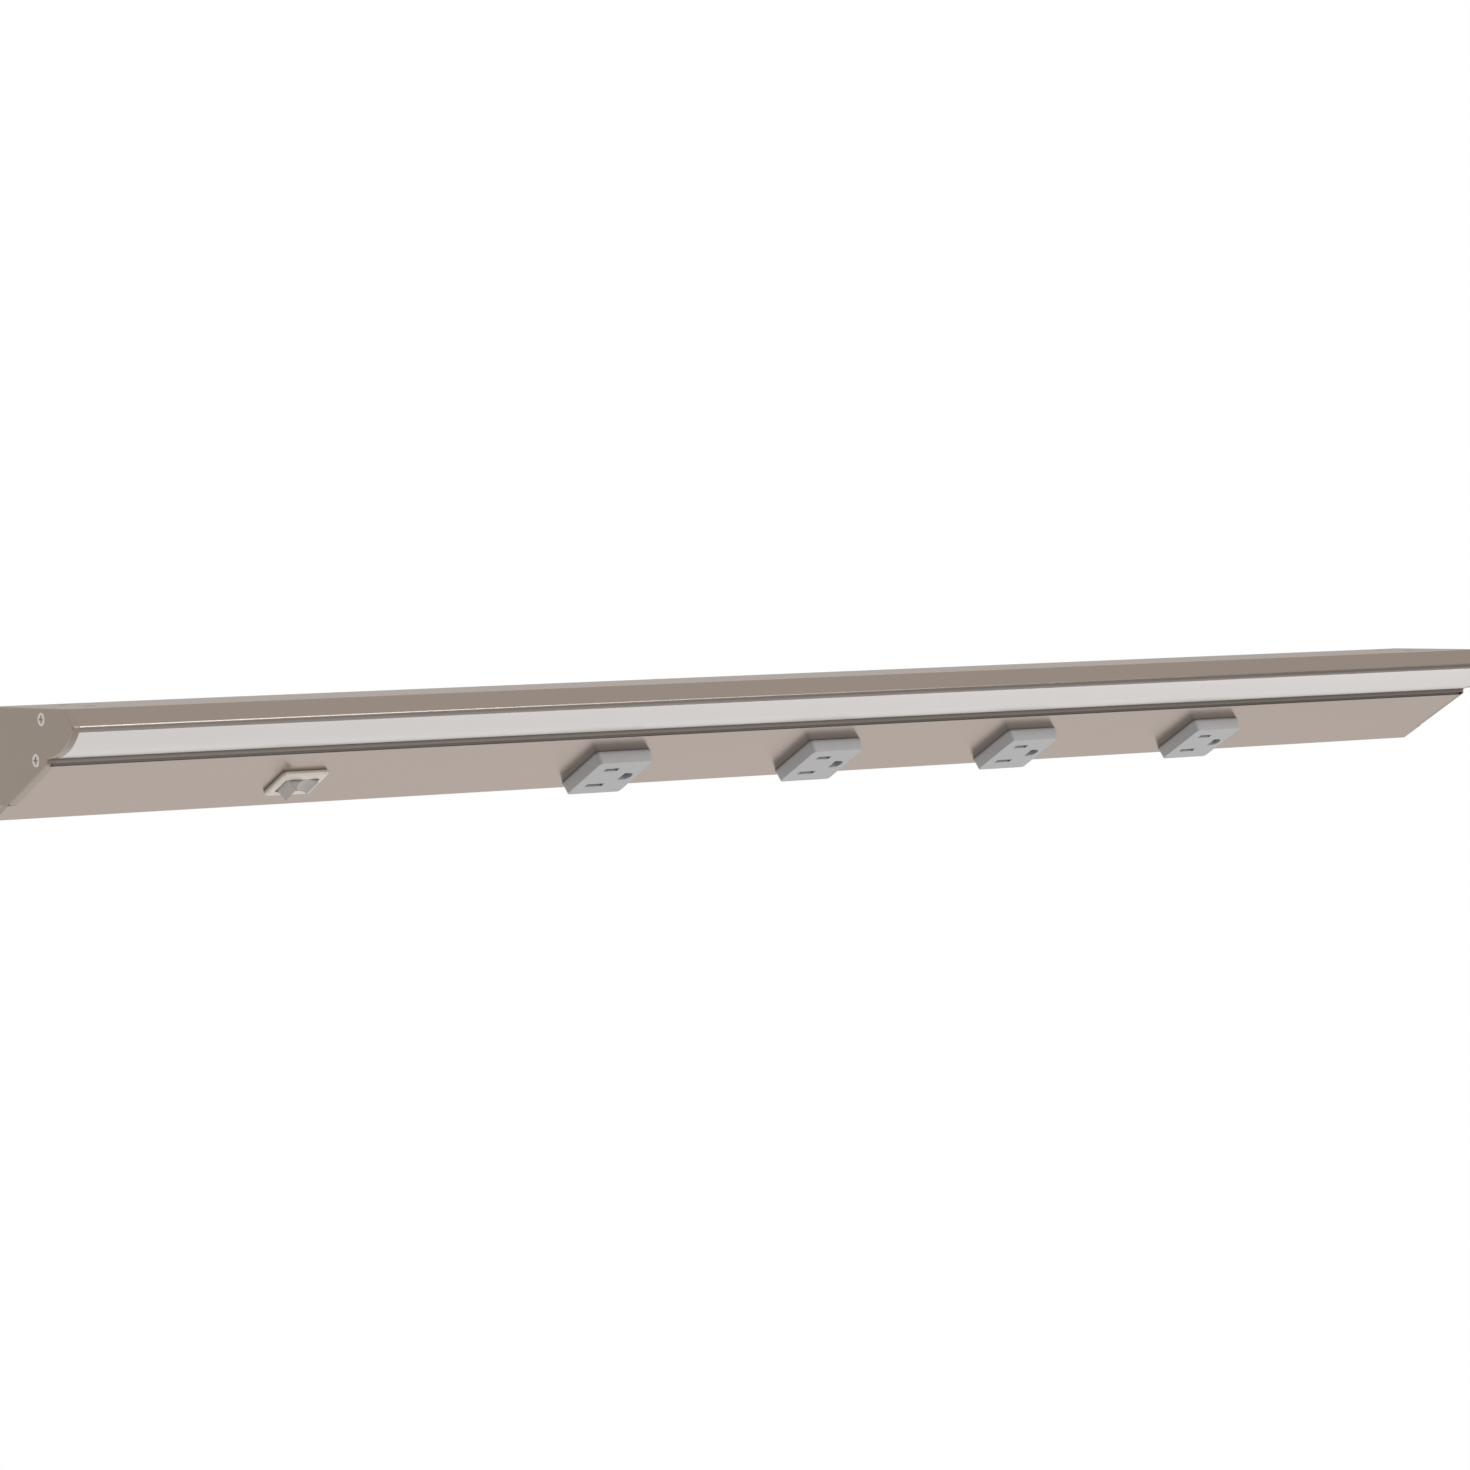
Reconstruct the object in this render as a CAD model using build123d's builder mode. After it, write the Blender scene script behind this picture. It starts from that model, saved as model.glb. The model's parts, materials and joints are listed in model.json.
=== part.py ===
from build123d import *
import math
import os

# Under cabinet power strip: a light lens along the front and four outlets on the slanted face behind it.
# All sizes are in millimetres. X runs along the strip, +Y points back to the wall and +Z is up.
# The origin is the middle of the flat top face, which lies against the underside of the cabinet.

# Whole strip
overall_length = 762.0
top_depth = 51.0
face_angle = 30.0

# End caps and their screws
cap_thick = 3.0
cap_bevel = 0.5
screw_head_radius = 2.5
screw_head_slope = 45.0
screw_radius = 1.4
screw_length = 12.0
screw_hole_radius = 1.7
screw_head_gap = 0.05
recess_length = 2.8
recess_width = 0.7
recess_depth = 0.8

# Housing extrusion, seen as a section from the front top corner
wall = 1.8
top_wall = 2.0
nose_out = 6.4
nose_drop = 6.6
nose_round = 1.6
corner_round = 0.5
lip_back = 10.6
lip_top_drop = 18.3
lip_bottom_drop = 19.6
face_drop = 20.2
groove_depth = 1.6
groove_skin = 1.2
partition_thick = 1.8
floor_thick = 4.7
shelf_thick = 1.6
shelf_width = 9.8
nib_height = 4.4
channel_radius = 2.9
channel_bore = 1.45
channel_slit = 1.2
front_channel_back = 14.6
front_channel_drop = 3.9
face_channel_along = 6.3
face_channel_in = 5.3
rear_channel_from_back = 4.6

# Diffuser lens and the light behind it
lens_radius = 19.5
lens_thick = 1.6
lens_step_back = 0.8
lens_step_drop = 1.6
lens_end_front = 1.2
lens_end_rise = 0.4
tongue_thick = 0.8
tongue_length = 0.8
slot_gap = 0.1
tray_depth = 7.5
tray_thick = 1.5
board_width = 9.5
board_thick = 1.2
board_inset = 8.0
chip_size = (3.5, 2.8, 0.8)
chip_pitch = 20.0

# Power panel, measured down the slope from where its face meets the front of the lip
panel_start = 1.1
toe_from_back = 2.3
toe_height = 4.3
panel_thick = 2.0
panel_edge_round = 0.6
leg_thick = 1.0
leg_gap = 0.2
upper_leg_depth = 4.8
upper_barb_reach = 0.7
lower_leg_depth = 5.9
lower_barb_reach = 0.8
barb_height = 1.0

# Outlets
first_outlet = 274.3
outlet_pitch = 112.0
outlet_from_toe = 17.1
flange_length = 28.0
flange_width = 27.0
flange_shift = -0.4
flange_height = 5.0
flange_round = 2.0
flange_taper = 7.0
outlet_length = 24.2
outlet_width = 20.4
outlet_wall = 1.4
body_depth = 11.0
back_depth = 15.0
back_floor = 1.4
back_chamfer = 3.0
cutout_gap = 0.1
latch_width = 8.0
latch_reach = 0.7
latch_depth = 4.5
blade_shift = -4.0
blade_spacing = 12.7
hot_slot = 7.0
neutral_slot = 8.6
slot_width = 2.2
ground_shift = 7.9
ground_radius = 2.7
rib_thick = 1.0
contact_thick = 0.5
contact_neck = 1.4
contact_mouth = 2.3
contact_top = 1.0
contact_length = 6.5
ground_neck = 4.4
ground_length = 4.2
lug_length = 2.6

# Light switch
switch_place = 122.0
switch_from_toe = 19.5
bezel_length = 20.6
bezel_width = 16.4
bezel_height = 2.0
bezel_round = 1.4
bezel_edge = 0.7
rocker_gap = 0.2
rocker_width = 8.6
rocker_half = 7.2
rocker_top_half = 5.4
rocker_rise = 5.35
rocker_dip = 2.75
rocker_shoulder = 0.3
rocker_skirt = 1.8
rocker_wall = 1.0
rocker_tilt = 12.0
mouth_length = 15.6
pivot_depth = 0.5
pivot_radius = 1.1
pivot_gap = 0.08
pivot_length = 1.1
switch_length = 18.4
switch_width = 12.8
switch_floor_top = 9.5
switch_floor_bottom = 13.0
post_radius = 1.8
post_depth = 3.4
plunger_radius = 1.0
plunger_reach = 6.4
plunger_top = 0.8
plunger_tip_radius = 0.4
lever_half = 5.2
lever_width = 4.4
lever_thick = 0.7
lever_depth = 7.35
lever_tilt = 8.0
lever_bar_radius = 1.0
cradle_gap = 0.05
cradle_half = 1.3
cradle_depth = 8.0
strip_thick = 0.5
strip_width = 3.0
pad_length = 2.4
stop_gap = 0.12
ledge_length = 2.0
tab_width = 4.8
tab_thick = 0.8
tab_length = 8.0
tab_place = 5.0

# Wiring, power inlet and light driver
wire_radius = 1.3
wire_spacing = 5.5
wire_shift = 1.9
wire_rest = 0.05
wire_grip = 6.0
block_start = 150.0
block_length = 28.0
block_depth = 18.2
block_top_drop = 7.5
block_drop = 26.0
driver_gap = 17.6
driver_length = 88.0
driver_depth = 18.0
driver_from_back = 8.0
driver_drop = 20.0
driver_round = 1.5
inlet_place = 202.0
inlet_drop = 18.0
inlet_hole_radius = 8.0
bushing_gap = 0.1
bushing_bore = 6.0
bushing_flange_radius = 10.0
bushing_flange_thick = 1.4

# Holes for the screws into the cabinet
mount_hole_radius = 2.25
mount_from_end = 25.0
mount_spacing_y = 18.0
mount_from_back = 21.0

sin_a = math.sin(math.radians(face_angle))
cos_a = math.cos(math.radians(face_angle))
body_length = overall_length - 2 * cap_thick
# As many outlets as leave room for the light driver between the last one and the end cap
row_end = overall_length - cap_thick - driver_length - driver_gap - outlet_length / 2
outlet_count = int((row_end - first_outlet) / outlet_pitch) + 1


def from_left(distance):
    """X at a distance from the left end of the strip."""
    return distance - overall_length / 2


def section_plane(x):
    """Cross-section plane at x. Its x runs back from the front top corner and its y runs up."""
    return Plane(origin=(x, -top_depth / 2, 0), x_dir=(0, 1, 0), z_dir=(1, 0, 0))


def on_face(along, inward):
    """Section point at a distance down the power face and a distance in from its surface."""
    back = lip_back + along * cos_a + inward * sin_a
    up = -face_drop - along * sin_a + inward * cos_a
    return (back, up)


def along_at(drop, inward):
    """Distance down the power face at which a line that far in from it reaches a height."""
    return (drop - face_drop + inward * cos_a) / sin_a


def level_face(drop, inward):
    """Section point at a height, on the line that far in from the power face."""
    return on_face(along_at(drop, inward), inward)


def face_plane(x, along):
    """Plane on the power face. Its z points out of the strip and its y runs up the slope."""
    back, up = on_face(along, 0)
    origin = (x, back - top_depth / 2, up)
    return Plane(origin=origin, x_dir=(1, 0, 0), z_dir=(0, -sin_a, -cos_a))


def meet(point, direction, other_point, other_direction):
    """Where two lines of the section cross."""
    cross = direction[0] * other_direction[1] - direction[1] * other_direction[0]
    gap = (other_point[0] - point[0], other_point[1] - point[1])
    step = (gap[0] * other_direction[1] - gap[1] * other_direction[0]) / cross
    return (point[0] + step * direction[0], point[1] + step * direction[1])


# The lens is an arc between the nose and the lip. These values place its centre and its two ends.
lens_front = (lens_step_back - nose_out, -nose_drop - lens_step_drop)
lip_top = (lip_back, -lip_top_drop)
lens_rear = (lip_back - lens_end_front, lip_top[1] + lens_end_rise)
chord = math.dist(lens_front, lens_rear)
chord_dir = ((lens_rear[0] - lens_front[0]) / chord, (lens_rear[1] - lens_front[1]) / chord)
chord_in = (-chord_dir[1], chord_dir[0])
chord_middle = ((lens_front[0] + lens_rear[0]) / 2, (lens_front[1] + lens_rear[1]) / 2)
centre_depth = math.sqrt(lens_radius**2 - chord**2 / 4)


def in_lens(along, inward):
    """Section point by a distance along the lens chord from its middle and a depth behind it."""
    back = chord_middle[0] + along * chord_dir[0] + inward * chord_in[0]
    up = chord_middle[1] + along * chord_dir[1] + inward * chord_in[1]
    return (back, up)


lens_centre = in_lens(0, centre_depth)


def turn_about_lens(point):
    """Angle of a section point about the lens centre, in degrees from 0 to 360."""
    return math.degrees(math.atan2(point[1] - lens_centre[1], point[0] - lens_centre[0])) % 360


front_turn = turn_about_lens(lens_front)
rear_turn = turn_about_lens(lens_rear)
middle_turn = (front_turn + rear_turn) / 2


def lens_point(radius, turn):
    """Section point at a radius and an angle about the lens centre."""
    back = lens_centre[0] + radius * math.cos(math.radians(turn))
    up = lens_centre[1] + radius * math.sin(math.radians(turn))
    return (back, up)


def lens_band(inner_radius, outer_radius, extra_length):
    """Face between two arcs about the lens centre, made longer at both ends by extra_length."""
    extra_turn = math.degrees(extra_length / lens_radius)
    start = front_turn - extra_turn
    sweep_turn = rear_turn - front_turn + 2 * extra_turn
    with BuildSketch() as band:
        with BuildLine():
            outer_arc = CenterArc(lens_centre, outer_radius, start, sweep_turn)
            inner_arc = CenterArc(lens_centre, inner_radius, start, sweep_turn)
            Line(outer_arc @ 0, inner_arc @ 0)
            Line(outer_arc @ 1, inner_arc @ 1)
        make_face()
    return band.sketch


def outline(bottom_points):
    """Outer outline of the section down to the lip, closed through bottom_points."""
    with BuildSketch() as shape:
        with BuildLine():
            Polyline((0, 0), (-nose_out, -nose_drop), lens_front)
            ThreePointArc(lens_front, lens_point(lens_radius, middle_turn), lens_rear)
            Polyline(lens_rear, lip_top, *bottom_points, (0, 0))
        make_face()
        front_corner = shape.vertices().sort_by_distance((0, 0, 0))[0]
        fillet(front_corner, corner_round)
        nose = shape.vertices().sort_by_distance((-nose_out, -nose_drop, 0))[0]
        fillet(nose, nose_round)
    return shape.sketch


# Places along the power face. The groove under the lip and the top of the panel are cut level.
panel_end = (top_depth - toe_from_back - lip_back - panel_thick * sin_a) / cos_a
toe = on_face(panel_end, panel_thick)
cap_drop = -toe[1] - toe_height
floor_drop = -toe[1] - floor_thick
outlet_along = panel_end - outlet_from_toe
switch_along = panel_end - switch_from_toe
groove_drop = face_drop + panel_start * sin_a
groove_back = lip_back + groove_depth
nib_start = along_at(floor_drop, nib_height)
shelf_in = panel_thick + shelf_thick
partition_rear = lip_back + partition_thick
front_channel = (front_channel_back, -front_channel_drop)
face_channel = on_face(face_channel_along, face_channel_in)
rear_channel = (top_depth - rear_channel_from_back, -front_channel_drop)
channels = [front_channel, face_channel, rear_channel]
slit_turns = [-60, 60, -120]

# Places of the light tray
front_slope = math.hypot(nose_out, nose_drop)
front_inside = (wall * nose_drop / front_slope, -wall * nose_out / front_slope)
tray_front = meet(in_lens(0, tray_depth), chord_dir, front_inside, (nose_out, nose_drop))
tray_rear = meet(in_lens(0, tray_depth), chord_dir, (lip_back, 0), (0, 1))
tray_back_front = meet(in_lens(0, tray_depth + tray_thick), chord_dir, (0, -top_wall), (1, 0))
tray_back_rear = meet(in_lens(0, tray_depth + tray_thick), chord_dir, (lip_back, 0), (0, 1))

# Housing: one extrusion with a light chamber, a power chamber and three screw channels.
# Its toe runs on under the end caps to the full length.
with BuildPart() as housing:
    with BuildSketch(section_plane(-body_length / 2)):
        add(
            outline(
                [
                    (lip_back, -lip_bottom_drop),
                    (groove_back, -lip_bottom_drop),
                    (groove_back, -groove_drop),
                    level_face(groove_drop, panel_thick),
                    toe,
                    (top_depth, toe[1]),
                    (top_depth, 0),
                ]
            )
        )
        inner_radius = lens_radius - lens_thick - slot_gap
        with BuildLine():
            Polyline(
                lens_point(inner_radius, front_turn),
                tray_front,
                tray_rear,
                lens_point(inner_radius, rear_turn),
            )
            ThreePointArc(
                lens_point(inner_radius, rear_turn),
                lens_point(inner_radius, middle_turn),
                lens_point(inner_radius, front_turn),
            )
        make_face(mode=Mode.SUBTRACT)
        add(lens_band(inner_radius, lens_radius + 1, 0), mode=Mode.SUBTRACT)
        slot_radius = lens_radius - lens_thick + tongue_thick + slot_gap
        add(lens_band(inner_radius, slot_radius, tongue_length + slot_gap), mode=Mode.SUBTRACT)
        Polygon(
            tray_back_front,
            (lip_back, -top_wall),
            tray_back_rear,
            align=None,
            mode=Mode.SUBTRACT,
        )
        Polygon(
            (partition_rear, -top_wall),
            (top_depth - wall, -top_wall),
            (top_depth - wall, -floor_drop),
            on_face(nib_start, nib_height),
            on_face(nib_start, panel_thick),
            on_face(shelf_width, panel_thick),
            on_face(shelf_width, shelf_in),
            meet(on_face(0, shelf_in), (cos_a, -sin_a), (partition_rear, 0), (0, 1)),
            align=None,
            mode=Mode.SUBTRACT,
        )
        with Locations(*channels):
            Circle(channel_radius)
        with Locations(*channels):
            Circle(channel_bore, mode=Mode.SUBTRACT)
        for place, turn in zip(channels, slit_turns):
            with Locations(Location((place[0], place[1], 0), (0, 0, turn))):
                Rectangle(
                    channel_radius + 1,
                    channel_slit,
                    align=(Align.MIN, Align.CENTER),
                    mode=Mode.SUBTRACT,
                )
    extrude(amount=body_length)
    for side in (-1, 1):
        with BuildSketch(section_plane(side * body_length / 2)):
            Polygon(
                level_face(cap_drop, panel_thick),
                (top_depth, -cap_drop),
                (top_depth, toe[1]),
                toe,
                align=None,
            )
        extrude(amount=side * cap_thick)
    with BuildSketch(Plane.XY.offset(-top_wall - 1)):
        with Locations((0, top_depth / 2 - mount_from_back)):
            with GridLocations(overall_length - 2 * mount_from_end, mount_spacing_y, 2, 2):
                Circle(mount_hole_radius)
    extrude(amount=top_wall + 2, mode=Mode.SUBTRACT)
    with BuildSketch(Plane.XZ.offset(-top_depth / 2 - 1)):
        with Locations((from_left(inlet_place), -inlet_drop)):
            Circle(inlet_hole_radius)
    extrude(amount=wall + 2, mode=Mode.SUBTRACT)
housing.part.label = "housing"

# Lens: an opal arc with a thin tongue at each edge that sits in the housing's slots
with BuildPart() as lens:
    with BuildSketch(section_plane(-body_length / 2)):
        add(lens_band(lens_radius - lens_thick, lens_radius, -slot_gap))
        add(lens_band(lens_radius - lens_thick, lens_radius - lens_thick + tongue_thick, tongue_length))
    extrude(amount=body_length)
lens.part.label = "lens"

# Light board on the tray, with a row of chips facing the lens
tray_middle = in_lens(0, tray_depth)
board_middle = (math.dist(tray_middle, tray_rear) - math.dist(tray_middle, tray_front)) / 2
board_length = body_length - 2 * board_inset
with BuildPart() as light_board:
    with BuildSketch(section_plane(-board_length / 2)):
        Polygon(
            in_lens(board_middle - board_width / 2, tray_depth),
            in_lens(board_middle + board_width / 2, tray_depth),
            in_lens(board_middle + board_width / 2, tray_depth - board_thick),
            in_lens(board_middle - board_width / 2, tray_depth - board_thick),
            align=None,
        )
    extrude(amount=board_length)
light_board.part.label = "light_board"

chip_back, chip_up = in_lens(board_middle, tray_depth - board_thick)
chip_plane = Plane(
    origin=(0, chip_back - top_depth / 2, chip_up),
    x_dir=(1, 0, 0),
    z_dir=(0, -chord_in[0], -chord_in[1]),
)
chip_count = int((board_length - 2 * chip_size[0]) / chip_pitch)
with BuildPart() as light_chips:
    with BuildSketch(chip_plane):
        with GridLocations(chip_pitch, 0, chip_count, 1):
            Rectangle(chip_size[0], chip_size[1])
    extrude(amount=chip_size[2])
light_chips.part.label = "light_chips"

# Power panel: a plate with two snap legs along its length and a cut-out for each outlet and the switch
outlet_places = [from_left(first_outlet + outlet_pitch * number) for number in range(outlet_count)]
upper_leg = shelf_width + leg_gap
lower_leg = nib_start - leg_gap - leg_thick
with BuildPart() as power_panel:
    with BuildSketch(section_plane(-body_length / 2)) as panel_section:
        Polygon(
            on_face(panel_start, 0),
            on_face(panel_end, 0),
            toe,
            level_face(groove_drop, panel_thick),
            align=None,
        )
        fillet(panel_section.vertices().sort_by(Axis.Y)[0], panel_edge_round)
        Polygon(
            on_face(upper_leg + leg_thick, panel_thick - 0.5),
            on_face(upper_leg + leg_thick, upper_leg_depth),
            on_face(upper_leg, upper_leg_depth),
            on_face(upper_leg - upper_barb_reach, upper_leg_depth - barb_height / 2),
            on_face(upper_leg - upper_barb_reach, upper_leg_depth - barb_height),
            on_face(upper_leg, upper_leg_depth - barb_height),
            on_face(upper_leg, panel_thick - 0.5),
            align=None,
        )
        Polygon(
            on_face(lower_leg, panel_thick - 0.5),
            on_face(lower_leg, lower_leg_depth),
            on_face(lower_leg + leg_thick, lower_leg_depth),
            on_face(lower_leg + leg_thick + lower_barb_reach, lower_leg_depth - barb_height / 2),
            on_face(lower_leg + leg_thick + lower_barb_reach, lower_leg_depth - barb_height),
            on_face(lower_leg + leg_thick, lower_leg_depth - barb_height),
            on_face(lower_leg + leg_thick, panel_thick - 0.5),
            align=None,
        )
    extrude(amount=body_length)
    for side in (-1, 1):
        with BuildSketch(section_plane(side * body_length / 2)) as panel_foot:
            Polygon(
                level_face(cap_drop, 0),
                on_face(panel_end, 0),
                toe,
                level_face(cap_drop, panel_thick),
                align=None,
            )
            fillet(panel_foot.vertices().sort_by(Axis.Y)[0], panel_edge_round)
        extrude(amount=side * cap_thick)
    for x in outlet_places:
        with BuildSketch(face_plane(x, outlet_along).offset(1)):
            Rectangle(outlet_length + 2 * cutout_gap, outlet_width + 2 * cutout_gap)
        extrude(amount=-panel_thick - 2, mode=Mode.SUBTRACT)
    with BuildSketch(face_plane(from_left(switch_place), switch_along).offset(1)):
        Rectangle(switch_length + 2 * cutout_gap, switch_width + 2 * cutout_gap)
    extrude(amount=-panel_thick - 2, mode=Mode.SUBTRACT)
power_panel.part.label = "power_panel"

# End caps: plates with the section's outline, cut off level above the toe and countersunk for the screws.
# The groove under the lip runs into them.
head_depth = (screw_head_radius - screw_radius) / math.tan(math.radians(screw_head_slope))
caps = []
for side, name in ((-1, "end_cap_left"), (1, "end_cap_right")):
    with BuildPart() as cap:
        with BuildSketch(section_plane(side * body_length / 2)):
            add(
                outline(
                    [
                        on_face(0, 0),
                        level_face(cap_drop, 0),
                        (top_depth, -cap_drop),
                        (top_depth, 0),
                    ]
                )
            )
        extrude(amount=side * cap_thick)
        outer_face = cap.faces().sort_by(Axis.X)[-1 if side > 0 else 0]
        chamfer(outer_face.outer_wire().edges().sort_by(Axis.Z)[1:], cap_bevel)
        with BuildSketch(section_plane(side * body_length / 2)):
            Polygon(
                (0, -lip_bottom_drop),
                (groove_back, -lip_bottom_drop),
                (groove_back, -groove_drop),
                (0, -groove_drop),
                align=None,
            )
        extrude(amount=side * (cap_thick - groove_skin), mode=Mode.SUBTRACT)
        with BuildSketch(section_plane(side * overall_length / 2)):
            with Locations(*channels):
                Circle(screw_head_radius + screw_head_gap)
        extrude(amount=-side * head_depth, taper=screw_head_slope, mode=Mode.SUBTRACT)
        with BuildSketch(section_plane(side * overall_length / 2)):
            with Locations(*channels):
                Circle(screw_hole_radius)
        extrude(amount=-side * cap_thick, mode=Mode.SUBTRACT)
    cap.part.label = name
    caps.append(cap)

# Screws of each cap: a countersunk head with a cross recess and a plain shank in the housing's channel
cap_screws = []
for side, name in ((-1, "cap_screws_left"), (1, "cap_screws_right")):
    with BuildPart() as screws:
        with BuildSketch(section_plane(side * overall_length / 2)):
            with Locations(*channels):
                Circle(screw_head_radius)
        extrude(amount=-side * head_depth, taper=screw_head_slope)
        with BuildSketch(section_plane(side * overall_length / 2)):
            with Locations(*channels):
                Circle(screw_radius)
        extrude(amount=-side * (cap_thick + screw_length))
        with BuildSketch(section_plane(side * overall_length / 2)):
            with Locations(*channels):
                Rectangle(recess_length, recess_width)
                Rectangle(recess_width, recess_length)
        extrude(amount=-side * recess_depth, mode=Mode.SUBTRACT)
    screws.part.label = name
    cap_screws.append(screws)

# Outlets. Each has a front moulding, a back cover and three folded contacts.
hot_height = blade_spacing / 2
outlet_parts = []
for number, x in enumerate(outlet_places, start=1):
    front_plane = face_plane(x, outlet_along)
    cross_plane = Plane(origin=front_plane.origin, x_dir=-front_plane.y_dir, z_dir=(1, 0, 0))

    with BuildPart() as face:
        with BuildSketch(front_plane):
            with Locations((0, flange_shift)):
                RectangleRounded(flange_length, flange_width, flange_round)
        extrude(amount=flange_height, taper=flange_taper)
        with BuildSketch(front_plane):
            Rectangle(outlet_length, outlet_width)
        extrude(amount=-body_depth)
        for latch_side in (-1, 1):
            with BuildSketch(Plane(origin=front_plane.origin, x_dir=(1, 0, 0), z_dir=front_plane.y_dir)):
                Polygon(
                    (latch_side * (outlet_length / 2 - 0.5), panel_thick + cutout_gap),
                    (latch_side * (outlet_length / 2 + latch_reach), panel_thick + cutout_gap),
                    (latch_side * (outlet_length / 2 - 0.5), latch_depth + 1),
                    align=None,
                )
            extrude(amount=latch_width / 2, both=True)
        with BuildSketch(front_plane.offset(-0.5)):
            room = outlet_length / 2 - outlet_wall
            half = outlet_width / 2 - outlet_wall
            ground_wall = (blade_shift + ground_shift) / 2 + rib_thick + 2
            for turn in (-1, 1):
                Polygon(
                    (-room, turn * rib_thick / 2),
                    (ground_wall - rib_thick, turn * rib_thick / 2),
                    (ground_wall - rib_thick, turn * half),
                    (-room, turn * half),
                    align=None,
                )
            Polygon(
                (ground_wall, -half),
                (room, -half),
                (room, half),
                (ground_wall, half),
                align=None,
            )
        extrude(amount=0.5 - body_depth, mode=Mode.SUBTRACT)
        with BuildSketch(front_plane.offset(flange_height)):
            with Locations((blade_shift, hot_height)):
                Rectangle(hot_slot, slot_width)
            with Locations((blade_shift, -hot_height)):
                Rectangle(neutral_slot, slot_width)
            with Locations((ground_shift, 0)):
                Circle(ground_radius)
                Rectangle(ground_radius, 2 * ground_radius, align=(Align.MAX, Align.CENTER))
        extrude(amount=-flange_height - 1, mode=Mode.SUBTRACT)
    face.part.label = f"outlet_{number}_face"
    outlet_parts.append(face)

    with BuildPart() as back:
        with BuildSketch(cross_plane):
            high = outlet_width / 2
            Polygon(
                (-high, body_depth),
                (-high, back_depth),
                (high - back_chamfer, back_depth),
                (high, back_depth - back_chamfer),
                (high, body_depth),
                align=None,
            )
        extrude(amount=outlet_length / 2, both=True)
        with BuildSketch(cross_plane):
            inner = outlet_width / 2 - outlet_wall
            inner_floor = back_depth - back_floor
            Polygon(
                (-inner, body_depth),
                (-inner, inner_floor),
                (inner - back_chamfer + 0.8, inner_floor),
                (inner, inner_floor - back_chamfer + 0.8),
                (inner, body_depth),
                align=None,
            )
        extrude(amount=outlet_length / 2 - outlet_wall, both=True, mode=Mode.SUBTRACT)
        with BuildSketch(front_plane.offset(-back_depth + back_floor / 2)):
            with Locations((blade_shift, hot_height), (blade_shift, -hot_height)):
                Rectangle(contact_length - 1, contact_neck)
            with Locations((ground_shift, 0)):
                Rectangle(ground_length - 1, ground_neck)
        extrude(amount=back_depth - back_floor / 2 - body_depth)
    back.part.label = f"outlet_{number}_back"
    outlet_parts.append(back)

    for title, shift, height, neck, length in (
        ("hot", blade_shift, -hot_height, contact_neck, contact_length),
        ("neutral", blade_shift, hot_height, contact_neck, contact_length),
        ("ground", ground_shift, 0, ground_neck, ground_length),
    ):
        middle = (neck + contact_thick) / 2
        mouth = middle + (contact_mouth - contact_neck) / 2
        bend = body_depth - contact_thick / 2
        with BuildPart() as contact:
            with BuildSketch(cross_plane.offset(shift)):
                with BuildLine() as fold:
                    Polyline(
                        (height - mouth, contact_top),
                        (height - middle, contact_top + 2),
                        (height - middle, bend),
                        (height + middle, bend),
                        (height + middle, contact_top + 2),
                        (height + mouth, contact_top),
                    )
                trace(line_width=contact_thick)
            extrude(amount=length / 2, both=True)
            with BuildSketch(front_plane.offset(-body_depth)):
                with Locations((shift - length / 2 * (1 if shift < 0 else -1), -height)):
                    Rectangle(2 * lug_length if shift < 0 else 1, neck)
            extrude(amount=contact_thick)
        contact.part.label = f"outlet_{number}_{title}_contact"
        outlet_parts.append(contact)

# Light switch. The side planes have x along the strip and y out of the power face, and can be tilted.
switch_x = from_left(switch_place)
switch_plane = face_plane(switch_x, switch_along)


def switch_side(depth, tilt):
    """Plane across the switch at a depth below the power face, with its left end lifted by tilt."""
    turn = math.radians(tilt)
    x_dir = Vector(math.cos(turn), 0, 0) - switch_plane.z_dir * math.sin(turn)
    origin = switch_plane.origin - switch_plane.z_dir * depth
    return Plane(origin=origin, x_dir=x_dir, z_dir=-switch_plane.y_dir)


tilt_sin = math.sin(math.radians(rocker_tilt))
tilt_cos = math.cos(math.radians(rocker_tilt))
ledge_depth = pivot_depth + rocker_half * tilt_sin + rocker_skirt * tilt_cos + stop_gap
mouth_width = rocker_width + 2 * rocker_gap

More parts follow.
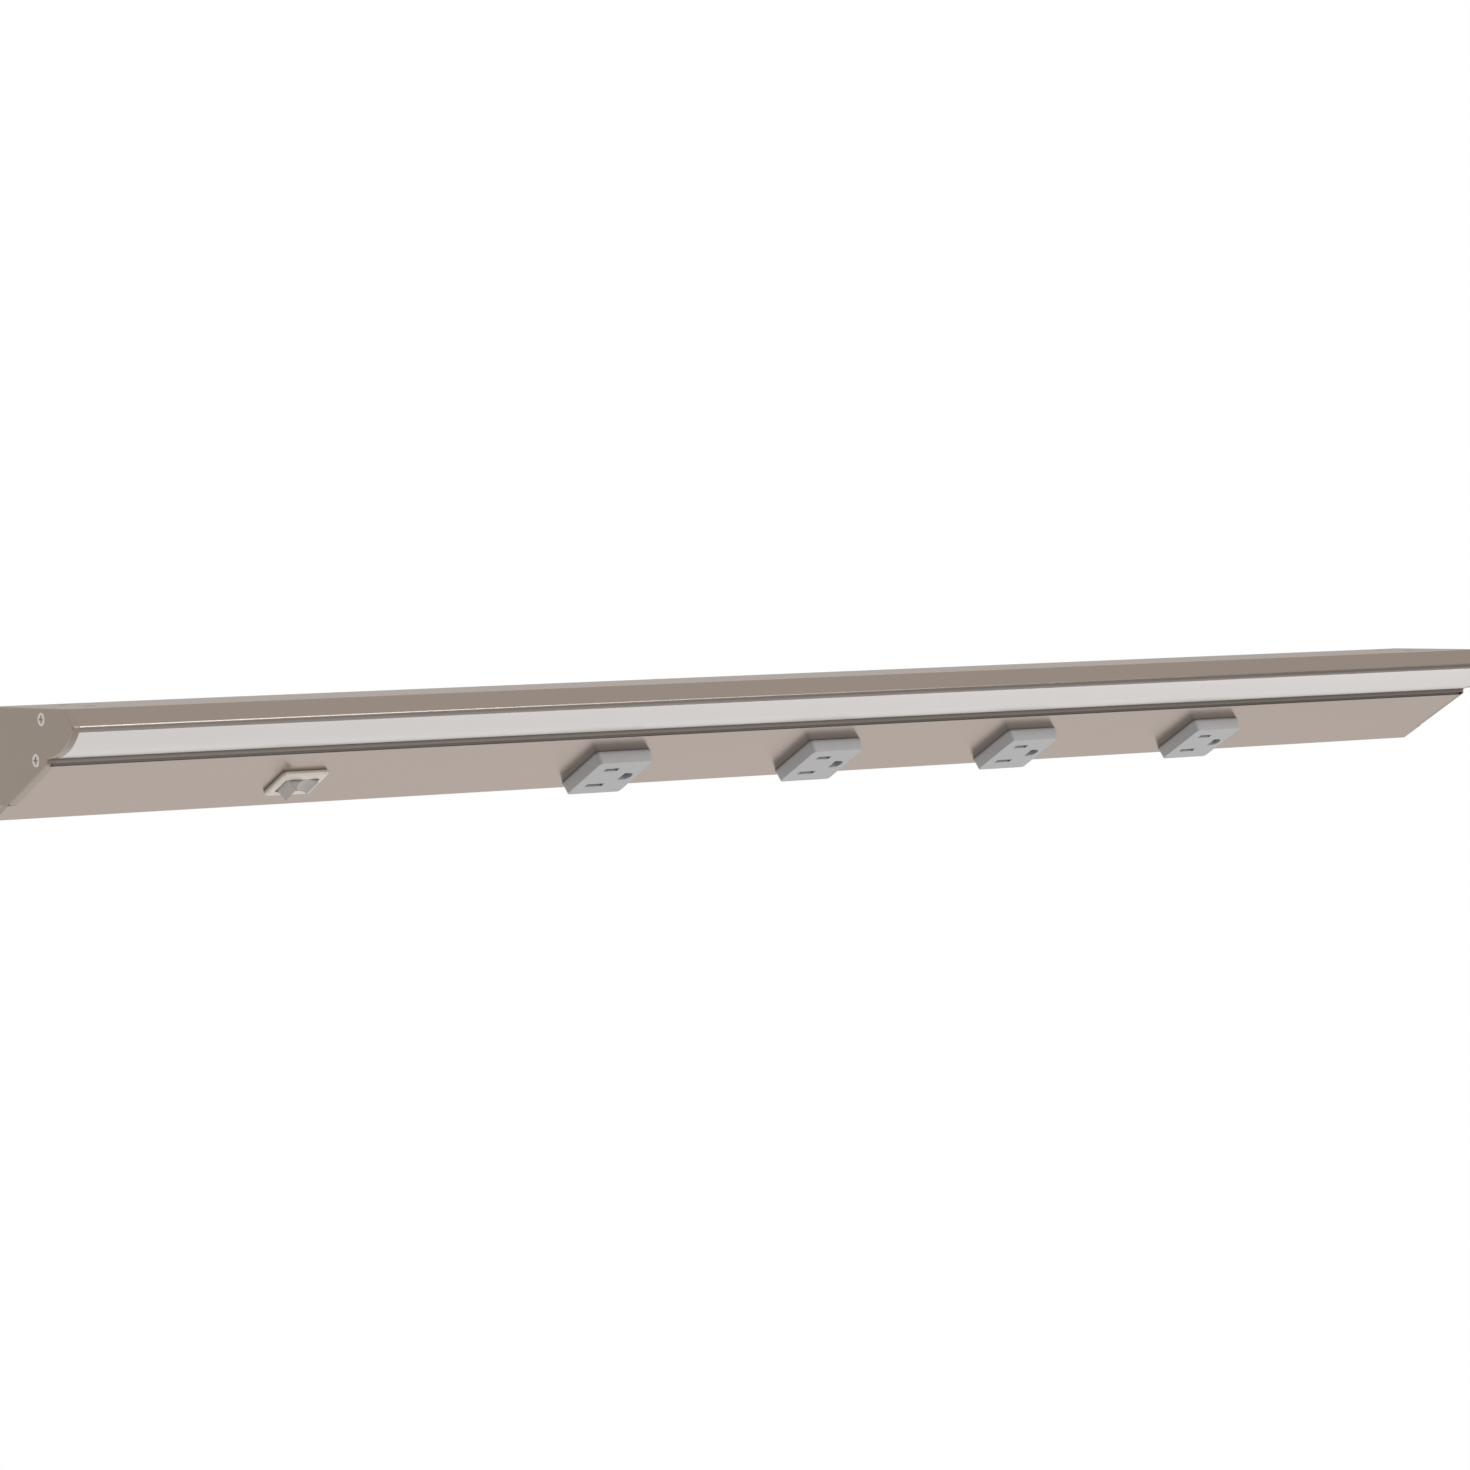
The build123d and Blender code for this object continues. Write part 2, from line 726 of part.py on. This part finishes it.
with BuildPart() as switch_frame:
    with BuildSketch(switch_plane):
        RectangleRounded(bezel_length, bezel_width, bezel_round)
    extrude(amount=bezel_height)
    bezel_front = switch_frame.faces().sort_by(Axis(switch_plane.origin, switch_plane.z_dir))[-1]
    chamfer(bezel_front.edges(), bezel_edge)
    with BuildSketch(switch_plane):
        Rectangle(switch_length, switch_width)
    extrude(amount=-switch_floor_bottom)
    for latch_side in (-1, 1):
        with BuildSketch(switch_side(0, 0)):
            Polygon(
                (latch_side * (switch_length / 2 - 0.5), -panel_thick - cutout_gap),
                (latch_side * (switch_length / 2 + latch_reach), -panel_thick - cutout_gap),
                (latch_side * (switch_length / 2 - 0.5), -latch_depth - 1),
                align=None,
            )
        extrude(amount=latch_width / 2, both=True)
    with BuildSketch(switch_side(0, 0)):
        inner_half = mouth_length / 2
        Polygon(
            (-inner_half, bezel_height + 1),
            (-inner_half, -ledge_depth),
            (-inner_half + ledge_length, -ledge_depth),
            (-inner_half + ledge_length, -switch_floor_top),
            (inner_half - ledge_length, -switch_floor_top),
            (inner_half - ledge_length, -ledge_depth),
            (inner_half, -ledge_depth),
            (inner_half, bezel_height + 1),
            align=None,
        )
    extrude(amount=mouth_width / 2, both=True, mode=Mode.SUBTRACT)
    with BuildSketch(switch_side(pivot_depth, 0)):
        Circle(pivot_radius + pivot_gap)
    extrude(amount=rocker_width / 2 + pivot_length + rocker_gap, both=True, mode=Mode.SUBTRACT)
    with BuildSketch(switch_plane.offset(-switch_floor_bottom - 1)):
        with Locations((-tab_place, 0), (tab_place, 0)):
            Rectangle(tab_width + 2 * cradle_gap, tab_thick + 2 * cradle_gap)
    extrude(amount=switch_floor_bottom - switch_floor_top + 2, mode=Mode.SUBTRACT)
switch_frame.part.label = "switch_frame"

# Rocker: a hollow key with slanted ends and a dished top, two pivot pins and a post for the plunger
rocker_side = switch_side(pivot_depth, rocker_tilt)
rocker_down = Plane(origin=rocker_side.origin, x_dir=rocker_side.x_dir, z_dir=-rocker_side.y_dir)
with BuildPart() as rocker:
    with BuildSketch(rocker_side) as profile:
        with BuildLine():
            Polyline(
                (-rocker_top_half, rocker_rise),
                (-rocker_half, -rocker_shoulder),
                (-rocker_half, -rocker_skirt),
                (rocker_half, -rocker_skirt),
                (rocker_half, -rocker_shoulder),
                (rocker_top_half, rocker_rise),
            )
            ThreePointArc(
                (rocker_top_half, rocker_rise),
                (0, rocker_rise - rocker_dip),
                (-rocker_top_half, rocker_rise),
            )
        make_face()
    extrude(amount=rocker_width / 2, both=True)
    with BuildSketch(rocker_side):
        add(profile.sketch_local)
        offset(amount=-rocker_wall, kind=Kind.INTERSECTION, mode=Mode.REPLACE)
        with Locations((0, -rocker_skirt)):
            Rectangle(2 * (rocker_half - rocker_wall), 2 * rocker_wall)
    extrude(amount=rocker_width / 2 - rocker_wall, both=True, mode=Mode.SUBTRACT)
    with BuildSketch(rocker_down.offset(rocker_dip + rocker_wall / 2 - rocker_rise)):
        Circle(post_radius)
    extrude(amount=rocker_rise - rocker_dip - rocker_wall / 2 + post_depth)
    for pin_side in (-1, 1):
        with BuildSketch(rocker_side.offset(pin_side * (rocker_width - rocker_wall) / 2)):
            Circle(pivot_radius)
        extrude(amount=pin_side * (rocker_wall / 2 + pivot_length))
    with BuildSketch(rocker_down.offset(plunger_top - cradle_gap)):
        Circle(plunger_radius + cradle_gap)
    extrude(amount=post_depth, mode=Mode.SUBTRACT)
rocker.part.label = "rocker"

with BuildPart() as rocker_plunger:
    with BuildSketch(rocker_side):
        Polygon(
            (0, -plunger_reach),
            (plunger_tip_radius, -plunger_reach),
            (plunger_radius, plunger_radius - plunger_tip_radius - plunger_reach),
            (plunger_radius, -plunger_top),
            (0, -plunger_top),
            align=None,
        )
    revolve(axis=Axis(rocker_side.origin, rocker_side.y_dir))
rocker_plunger.part.label = "rocker_plunger"

# Contact lever of the switch: a seesaw on a round bar that the plunger tips over
lever_side = switch_side(lever_depth, -lever_tilt)
with BuildPart() as switch_lever:
    with BuildSketch(lever_side):
        Circle(lever_bar_radius)
        Rectangle(
            2 * lever_bar_radius,
            lever_bar_radius,
            align=(Align.CENTER, Align.MIN),
            mode=Mode.SUBTRACT,
        )
        Rectangle(2 * lever_half, lever_thick)
    extrude(amount=lever_width / 2, both=True)
switch_lever.part.label = "switch_lever"

# Terminals of the switch: one carries the lever in a cradle and the other is the contact at its right end
lever_end_drop = lever_half * math.sin(math.radians(lever_tilt))
strip_reach = mouth_length / 2 - ledge_length - stop_gap
pad_depth = lever_depth + lever_end_drop + lever_thick / 2 + stop_gap
with BuildPart() as switch_common:
    with BuildSketch(switch_side(0, 0)):
        Polygon(
            (-cradle_half, -cradle_depth),
            (cradle_half, -cradle_depth),
            (cradle_half, -switch_floor_top),
            (-cradle_half, -switch_floor_top),
            align=None,
        )
        with Locations((0, -lever_depth)):
            Circle(lever_bar_radius + cradle_gap, mode=Mode.SUBTRACT)
    extrude(amount=lever_width / 2, both=True)
    with BuildSketch(switch_plane.offset(-switch_floor_top)):
        with Locations((-strip_reach, 0)):
            Rectangle(strip_reach + cradle_half, strip_width, align=(Align.MIN, Align.CENTER))
    extrude(amount=strip_thick)
    with BuildSketch(switch_plane.offset(-switch_floor_top)):
        with Locations((-tab_place, 0)):
            Rectangle(tab_width, tab_thick)
    extrude(amount=switch_floor_top - switch_floor_bottom - tab_length)
switch_common.part.label = "switch_common_terminal"

with BuildPart() as switch_live:
    with BuildSketch(switch_plane.offset(-switch_floor_top)):
        with Locations((lever_half - pad_length / 2, 0)):
            Rectangle(pad_length, strip_width)
    extrude(amount=switch_floor_top - pad_depth)
    with BuildSketch(switch_plane.offset(-switch_floor_top)):
        with Locations((tab_place, 0)):
            Rectangle(tab_width, tab_thick)
    extrude(amount=switch_floor_top - switch_floor_bottom - tab_length)
switch_live.part.label = "switch_live_terminal"

# Wiring: three wires lie along the back covers of the outlets and two go from the block to the switch
wire_depth = back_depth + wire_rest + wire_radius
wire_entry = 2 * (wire_radius + wire_rest)
first_wire = outlet_along - outlet_width / 4 - wire_shift
wire_places = [on_face(first_wire + wire_spacing * row, wire_depth) for row in range(3)]
driver_x = outlet_places[-1] + outlet_length / 2 + driver_gap
driver_back = top_depth - driver_from_back
driver_front = driver_back - driver_depth
block_x = from_left(block_start)
block_front = top_depth - wall - block_depth
wire_start = block_x + block_length - wire_grip
wire_ends = [driver_x + wire_grip, driver_x + wire_grip, outlet_places[-1] + outlet_length / 2]
wires = []
for name, place, wire_end in zip(("hot_wire", "neutral_wire", "ground_wire"), wire_places, wire_ends):
    with BuildPart() as wire:
        with BuildSketch(section_plane(wire_start)):
            with Locations(place):
                Circle(wire_radius)
        extrude(amount=wire_end - wire_start)
    wire.part.label = name
    wires.append(wire)

tab_side = tab_thick / 2 + wire_rest + wire_radius
tab_depth = switch_floor_bottom + tab_length / 2
switch_wire_places = [on_face(switch_along + side * tab_side, tab_depth) for side in (1, -1)]
switch_wires = []
for name, place, tab_x in (
    ("switch_wire_common", switch_wire_places[0], switch_x - tab_place),
    ("switch_wire_live", switch_wire_places[1], switch_x + tab_place),
):
    with BuildPart() as wire:
        with BuildSketch(section_plane(tab_x - tab_width / 2)):
            with Locations(place):
                Circle(wire_radius)
        extrude(amount=block_x + wire_grip - tab_x + tab_width / 2)
    wire.part.label = name
    switch_wires.append(wire)

# Terminal block on the rear wall, where the wires meet the supply
with BuildPart() as terminal_block:
    with BuildSketch(section_plane(block_x)):
        Polygon(
            (block_front, -block_top_drop),
            (top_depth - wall, -block_top_drop),
            (top_depth - wall, -block_drop),
            (block_front, -block_drop),
            align=None,
        )
    extrude(amount=block_length)
    with BuildSketch(section_plane(block_x + block_length + 1)):
        with Locations(*wire_places):
            Rectangle(wire_entry, wire_entry)
    extrude(amount=-wire_grip - 1 - wire_rest, mode=Mode.SUBTRACT)
    with BuildSketch(section_plane(block_x - 1)):
        with Locations(*switch_wire_places):
            Rectangle(wire_entry, wire_entry)
    extrude(amount=wire_grip + 1 + wire_rest, mode=Mode.SUBTRACT)
terminal_block.part.label = "terminal_block"

# Light driver: a sealed box under the top wall that the supply wires enter at its left end
with BuildPart() as light_driver:
    with BuildSketch(section_plane(driver_x)) as driver_section:
        Polygon(
            (driver_front, -top_wall),
            (driver_back, -top_wall),
            (driver_back, -driver_drop),
            (driver_front, -driver_drop),
            align=None,
        )
        fillet(driver_section.vertices().group_by(Axis.Y)[0], driver_round)
    extrude(amount=driver_length)
    with BuildSketch(section_plane(driver_x - 1)):
        with Locations(*wire_places[:2]):
            Rectangle(wire_entry, wire_entry)
    extrude(amount=wire_grip + 1 + wire_rest, mode=Mode.SUBTRACT)
light_driver.part.label = "light_driver"

# Inlet bushing: a sleeve in the rear wall for the supply cable, with a flange inside
with BuildPart() as inlet_bushing:
    with BuildSketch(Plane.XZ.offset(-top_depth / 2)):
        with Locations((from_left(inlet_place), -inlet_drop)):
            Circle(inlet_hole_radius - bushing_gap)
    extrude(amount=wall)
    with BuildSketch(Plane.XZ.offset(wall - top_depth / 2)):
        with Locations((from_left(inlet_place), -inlet_drop)):
            Circle(bushing_flange_radius)
    extrude(amount=bushing_flange_thick)
    with BuildSketch(Plane.XZ.offset(-top_depth / 2 - 1)):
        with Locations((from_left(inlet_place), -inlet_drop)):
            Circle(bushing_bore)
    extrude(amount=wall + bushing_flange_thick + 2, mode=Mode.SUBTRACT)
inlet_bushing.part.label = "inlet_bushing"

pieces = [housing, lens, light_board, light_chips, power_panel]
pieces += caps + cap_screws + outlet_parts
pieces += [switch_frame, rocker, rocker_plunger, switch_lever, switch_common, switch_live]
pieces += wires + switch_wires
pieces += [terminal_block, light_driver, inlet_bushing]

os.makedirs("parts", exist_ok=True)
for piece in pieces:
    export_step(piece.part, f"parts/{piece.part.label}.step")
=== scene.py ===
import json
import math

import bpy
from mathutils import Matrix, Vector

# Looks of the under cabinet power strip: surfaces, light and the camera of the photograph
# Lengths are in metres, angles in degrees. The strip runs along X, +Y is the wall's side, +Z up.

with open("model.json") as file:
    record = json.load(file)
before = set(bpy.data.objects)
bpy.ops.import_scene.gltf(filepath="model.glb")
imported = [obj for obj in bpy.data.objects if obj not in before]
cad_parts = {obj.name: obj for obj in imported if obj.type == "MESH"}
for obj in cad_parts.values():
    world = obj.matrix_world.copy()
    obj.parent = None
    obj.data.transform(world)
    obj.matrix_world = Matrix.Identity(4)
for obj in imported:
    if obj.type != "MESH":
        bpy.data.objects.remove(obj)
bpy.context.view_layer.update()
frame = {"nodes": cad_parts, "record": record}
nodes = frame["nodes"]

# Camera fitted to the photograph
FOCAL_MM = 119.29
SENSOR_MM = 36.0
CAMERA_PLACE = Vector((-1.3209, -1.4980, 0.0602))
CAMERA_TURN = 40.405
CAMERA_DIP = 2.42
CAMERA_ROLL = 0.91
NEAREST_SHOWN = 0.05
FARTHEST_SHOWN = 50

# Edges: radius to which the shading rounds them, and angle from which they stay sharp
EDGE_ROUNDING = 0.0003
EDGE_SAMPLES = 6
SHARP_EDGE_ANGLE = 28

# Samples of the painted shade in corners, and the span in which nearly all of the noise lies
CORNER_SHADE_SAMPLES = 8
NOISE_LOW, NOISE_HIGH = 0.25, 0.75

WHITE = (1.0, 1.0, 1.0, 1.0)
METAL_EDGE_TINT = (0.95, 0.89, 0.85, 1.0)
CEILING_TINT = (1.0, 0.94, 0.885, 1.0)

# Point that the lamps face, near the middle of the strip
LIT_POINT = (0, 0, -0.02)


def linear(red, green, blue):
    """An sRGB colour, 0 to 255 as a picture shows it, as the renderer's linear values."""
    values = []
    for part in (red, green, blue):
        part = part / 255
        values.append(part / 12.92 if part <= 0.04045 else ((part + 0.055) / 1.055) ** 2.4)
    return (*values, 1.0)


class Surface:
    """A material whose colour, roughness and relief all vary a little over the surface."""

    def __init__(self, name, colour, roughness, metallic=0.0, edge_tint=WHITE):
        self.material = bpy.data.materials.new(name)
        self.material.use_nodes = True
        self.nodes = self.material.node_tree.nodes
        self.links = self.material.node_tree.links
        self.shader = self.nodes["Principled BSDF"]
        self.shader.inputs["Base Color"].default_value = colour
        self.shader.inputs["Roughness"].default_value = roughness
        self.shader.inputs["Metallic"].default_value = metallic
        self.shader.inputs["Specular Tint"].default_value = edge_tint
        self.colour = colour
        self.roughness = roughness
        self.place = self.nodes.new("ShaderNodeTexCoord")
        rounding = self.nodes.new("ShaderNodeBevel")
        rounding.samples = EDGE_SAMPLES
        rounding.inputs["Radius"].default_value = EDGE_ROUNDING
        self.normal = rounding.outputs["Normal"]

    def noise(self, scale, detail, stretch=(1, 1, 1)):
        """Noise with its cells about 1/scale metres across, more where stretch is below 1."""
        mapping = self.nodes.new("ShaderNodeMapping")
        mapping.inputs["Scale"].default_value = stretch
        texture = self.nodes.new("ShaderNodeTexNoise")
        texture.inputs["Scale"].default_value = scale
        texture.inputs["Detail"].default_value = detail
        self.links.new(self.place.outputs["Object"], mapping.inputs["Vector"])
        self.links.new(mapping.outputs["Vector"], texture.inputs["Vector"])
        return texture.outputs["Fac"]

    def vary_colour(self, value, amount):
        """Darkens and lightens the base colour by a share of itself."""
        darker = [part * (1 - amount) for part in self.colour[:3]]
        lighter = [min(part * (1 + amount), 1) for part in self.colour[:3]]
        mix = self.nodes.new("ShaderNodeMix")
        mix.data_type = "RGBA"
        mix.inputs["A"].default_value = (*darker, 1)
        mix.inputs["B"].default_value = (*lighter, 1)
        self.links.new(value, mix.inputs["Factor"])
        self.links.new(mix.outputs["Result"], self.shader.inputs["Base Color"])

    def paint_corner_shade(self, reach):
        """Paints shade into the varied colour where other surfaces stand closer than reach."""
        base = self.shader.inputs["Base Color"]
        corner_shade = self.nodes.new("ShaderNodeAmbientOcclusion")
        corner_shade.samples = CORNER_SHADE_SAMPLES
        corner_shade.inputs["Distance"].default_value = reach
        self.links.new(base.links[0].from_socket, corner_shade.inputs["Color"])
        self.links.new(corner_shade.outputs["Color"], base)

    def vary_roughness(self, value, amount):
        """Moves the roughness up and down by amount."""
        spread = self.nodes.new("ShaderNodeMapRange")
        spread.inputs["From Min"].default_value = NOISE_LOW
        spread.inputs["From Max"].default_value = NOISE_HIGH
        spread.inputs["To Min"].default_value = self.roughness - amount
        spread.inputs["To Max"].default_value = self.roughness + amount
        self.links.new(value, spread.inputs["Value"])
        self.links.new(spread.outputs["Result"], self.shader.inputs["Roughness"])

    def bump(self, value, height, strength):
        """Adds relief of that height to the rounded edges' normal."""
        relief = self.nodes.new("ShaderNodeBump")
        relief.inputs["Distance"].default_value = height
        relief.inputs["Strength"].default_value = strength
        self.links.new(value, relief.inputs["Height"])
        self.links.new(self.normal, relief.inputs["Normal"])
        self.links.new(relief.outputs["Normal"], self.shader.inputs["Normal"])


def extruded_metal(name, colour, roughness, corner_shade_reach):
    """Anodised extrusion: fine draw lines along the strip, slow clouds and painted shade in
    corners.
    """
    surface = Surface(name, colour, roughness, metallic=1.0, edge_tint=METAL_EDGE_TINT)
    lines = surface.noise(scale=900, detail=4, stretch=(0.01, 1, 1))
    clouds = surface.noise(scale=14, detail=3, stretch=(0.6, 1, 1))
    surface.vary_colour(clouds, amount=0.02)
    # Painted shade: the colour darkens in the groove under the lens and where parts meet
    surface.paint_corner_shade(corner_shade_reach)
    surface.vary_roughness(lines, amount=0.015)
    surface.bump(lines, height=0.000002, strength=0.1)
    return surface.material


def moulded(name, colour, roughness, metallic=0.0):
    """Moulded plastic or metallic paint: a fine grain, clouds and painted shade in corners.

    Where the roughness varies across 0.27, denoised renders show flecks, so it starts from
    0.32 or more.
    """
    surface = Surface(name, colour, roughness, metallic)
    pits = surface.noise(scale=2600, detail=2)
    clouds = surface.noise(scale=60, detail=3)
    surface.vary_colour(clouds, amount=0.03)
    # Painted shade: the colour darkens where parts meet and in recesses
    surface.paint_corner_shade(reach=0.0014)
    surface.vary_roughness(clouds, amount=0.04)
    surface.bump(pits, height=0.00001, strength=0.4)
    return surface.material


def worn_metal(name, colour, roughness):
    """Plated or stamped metal with fine scratches."""
    surface = Surface(name, colour, roughness, metallic=1.0)
    scratches = surface.noise(scale=2000, detail=3, stretch=(1, 0.15, 0.15))
    clouds = surface.noise(scale=200, detail=3)
    surface.vary_colour(clouds, amount=0.06)
    surface.vary_roughness(scratches, amount=0.08)
    surface.bump(scratches, height=0.000008, strength=0.5)
    return surface.material


# One look for each material slot of the record, its number the roughness
looks = {
    # For the metals, the last number is how far the painted shade in corners reaches
    "housing": extruded_metal("housing_metal", linear(176, 166, 159), 0.26, corner_shade_reach=0.0011),
    "power_panel": extruded_metal("panel_metal", linear(166, 156, 149), 0.24, corner_shade_reach=0.0008),
    "lens": moulded("lens_opal", linear(210, 205, 203), 0.32),
    "end_cap": moulded("cap_paint", linear(154, 142, 131), 0.32, metallic=0.6),
    "screw": worn_metal("screw_steel", linear(206, 200, 192), 0.26),
    "light_board": moulded("board_mask", linear(238, 238, 232), 0.40),
    "light_chip": moulded("chip_resin", linear(240, 224, 140), 0.32),
    "outlet_face": moulded("outlet_plastic", linear(166, 165, 165), 0.34),
    "outlet_back": moulded("black_moulding", linear(40, 40, 42), 0.45),
    "contact": worn_metal("contact_brass", linear(214, 178, 110), 0.28),
    "switch_frame": moulded("switch_plastic", linear(210, 200, 190), 0.32),
    "rocker": moulded("rocker_plastic", linear(166, 160, 154), 0.32),
    "wire_dark": moulded("wire_black", linear(38, 38, 38), 0.40),
    "wire_white": moulded("wire_white", linear(232, 230, 225), 0.40),
    "wire_green": moulded("wire_green", linear(45, 130, 68), 0.40),
    "driver": moulded("driver_case", linear(224, 224, 220), 0.45),
    "bushing": moulded("bushing_nylon", linear(34, 34, 36), 0.42),
}
for part in frame["record"]["subparts"]:
    node = nodes[part["node"]]
    node.data.materials.clear()
    node.data.materials.append(looks[part["material_slot"]])


def shade_smooth(obj):
    """Shades the curved faces smooth and keeps the sharp edges, with no vertex moved."""
    mesh = obj.data
    for face in mesh.polygons:
        face.use_smooth = True
    mesh.set_sharp_from_angle(angle=math.radians(SHARP_EDGE_ANGLE))


for obj in nodes.values():
    shade_smooth(obj)

# Surroundings as the metal mirrors them. The direction of a reflection gives X, Y and Z.
world = bpy.data.worlds.new("surroundings")
bpy.context.scene.world = world
world.use_nodes = True
tree = world.node_tree
tree.nodes.clear()
links = tree.links
direction = tree.nodes.new("ShaderNodeTexCoord")
split = tree.nodes.new("ShaderNodeSeparateXYZ")
links.new(direction.outputs["Generated"], split.inputs["Vector"])


def ramp(axis, start, end, low, high):
    """Smooth step from low to high as the direction's X, Y or Z goes from start to end."""
    step = tree.nodes.new("ShaderNodeMapRange")
    step.interpolation_type = "SMOOTHSTEP"
    step.inputs["From Min"].default_value = start
    step.inputs["From Max"].default_value = end
    step.inputs["To Min"].default_value = low
    step.inputs["To Max"].default_value = high
    links.new(split.outputs[axis], step.inputs["Value"])
    return step.outputs["Result"]


def join(operation, first, second):
    """One maths step on two values."""
    step = tree.nodes.new("ShaderNodeMath")
    step.operation = operation
    links.new(first, step.inputs[0])
    links.new(second, step.inputs[1])
    return step.outputs["Value"]


def add(first, second):
    """The sum of two values."""
    return join("ADD", first, second)


def multiply(first, second):
    """The product of two values."""
    return join("MULTIPLY", first, second)


# Brightness: glows behind, in front, on the floor and on the ceiling, stronger at the left
behind = ramp("Y", start=-0.60, end=0.35, low=0.0, high=1.0)
below = ramp("Z", start=0.05, end=-0.45, low=0.38, high=0.50)
floor_glow = ramp("Z", start=-0.30, end=-0.60, low=0.0, high=0.30)
front_glow = ramp("Y", start=-0.50, end=-0.90, low=0.25, high=0.52)
ceiling_glow = ramp("Z", start=0.20, end=0.80, low=0.0, high=0.23)
left_share = ramp("X", start=-0.60, end=0.30, low=1.30, high=1.0)
right_share = ramp("X", start=0.62, end=0.80, low=1.0, high=0.88)
rear_glow = multiply(multiply(behind, below), right_share)
all_glows = add(add(rear_glow, front_glow), add(floor_glow, ceiling_glow))
brightness = multiply(all_glows, left_share)

# Colour: white below, turning warm towards the ceiling
tint = tree.nodes.new("ShaderNodeMix")
tint.data_type = "RGBA"
tint.inputs["A"].default_value = WHITE
tint.inputs["B"].default_value = CEILING_TINT
links.new(ramp("Z", start=0.0, end=0.8, low=0.0, high=1.0), tint.inputs["Factor"])

# The room gives light and mirror images, and the camera sees white paper behind the strip
room = tree.nodes.new("ShaderNodeBackground")
links.new(tint.outputs["Result"], room.inputs["Color"])
links.new(brightness, room.inputs["Strength"])
paper = tree.nodes.new("ShaderNodeBackground")
paper.inputs["Color"].default_value = WHITE
paper.inputs["Strength"].default_value = 1.0
rays = tree.nodes.new("ShaderNodeLightPath")
choose = tree.nodes.new("ShaderNodeMixShader")
output = tree.nodes.new("ShaderNodeOutputWorld")
links.new(rays.outputs["Is Camera Ray"], choose.inputs["Fac"])
links.new(room.outputs["Background"], choose.inputs[1])
links.new(paper.outputs["Background"], choose.inputs[2])
links.new(choose.outputs["Shader"], output.inputs["Surface"])


def lamp(name, place, side, power):
    """Square lamp of that side at place, facing the strip, with its power in watts."""
    data = bpy.data.lights.new(name, "AREA")
    data.shape = "SQUARE"
    data.size = side
    data.energy = power
    made = bpy.data.objects.new(name, data)
    bpy.context.scene.collection.objects.link(made)
    made.location = place
    facing = Vector(LIT_POINT) - Vector(place)
    made.rotation_euler = facing.to_track_quat("-Z", "Y").to_euler()
    return made


# The key and the fills light without a mirror image, and the glint is only mirrored
key = lamp("key", (6.60, -5.20, 5.40), side=6.0, power=224.0)
key.visible_glossy = False
glint = lamp("glint", (4.20, -5.10, 5.30), side=2.5, power=75.0)
glint.visible_diffuse = False
low_fill = lamp("low_fill", (0.7, -1.7, -0.78), side=1.6, power=5.0)
low_fill.visible_glossy = False
high_fill = lamp("high_fill", (0.8, -1.7, 0.70), side=1.6, power=23.0)
high_fill.visible_glossy = False

# Camera: turned from +Y towards +X, dipped below level and rolled about its own axis
turn, dip, roll = (math.radians(angle) for angle in (CAMERA_TURN, CAMERA_DIP, CAMERA_ROLL))
ahead = Vector((math.sin(turn) * math.cos(dip), math.cos(turn) * math.cos(dip), -math.sin(dip)))
level_right = Vector((math.cos(turn), -math.sin(turn), 0))
level_down = ahead.cross(level_right)
right = level_right * math.cos(roll) + level_down * math.sin(roll)
down = level_down * math.cos(roll) - level_right * math.sin(roll)
camera_data = bpy.data.cameras.new("camera")
camera_data.lens = FOCAL_MM
camera_data.sensor_width = SENSOR_MM
camera_data.clip_start = NEAREST_SHOWN
camera_data.clip_end = FARTHEST_SHOWN
camera = bpy.data.objects.new("camera", camera_data)
bpy.context.scene.collection.objects.link(camera)
camera_axes = Matrix((right, -down, -ahead)).transposed()
camera.matrix_world = Matrix.Translation(CAMERA_PLACE) @ camera_axes.to_4x4()
bpy.context.scene.camera = camera
bpy.context.scene.view_settings.view_transform = "Standard"
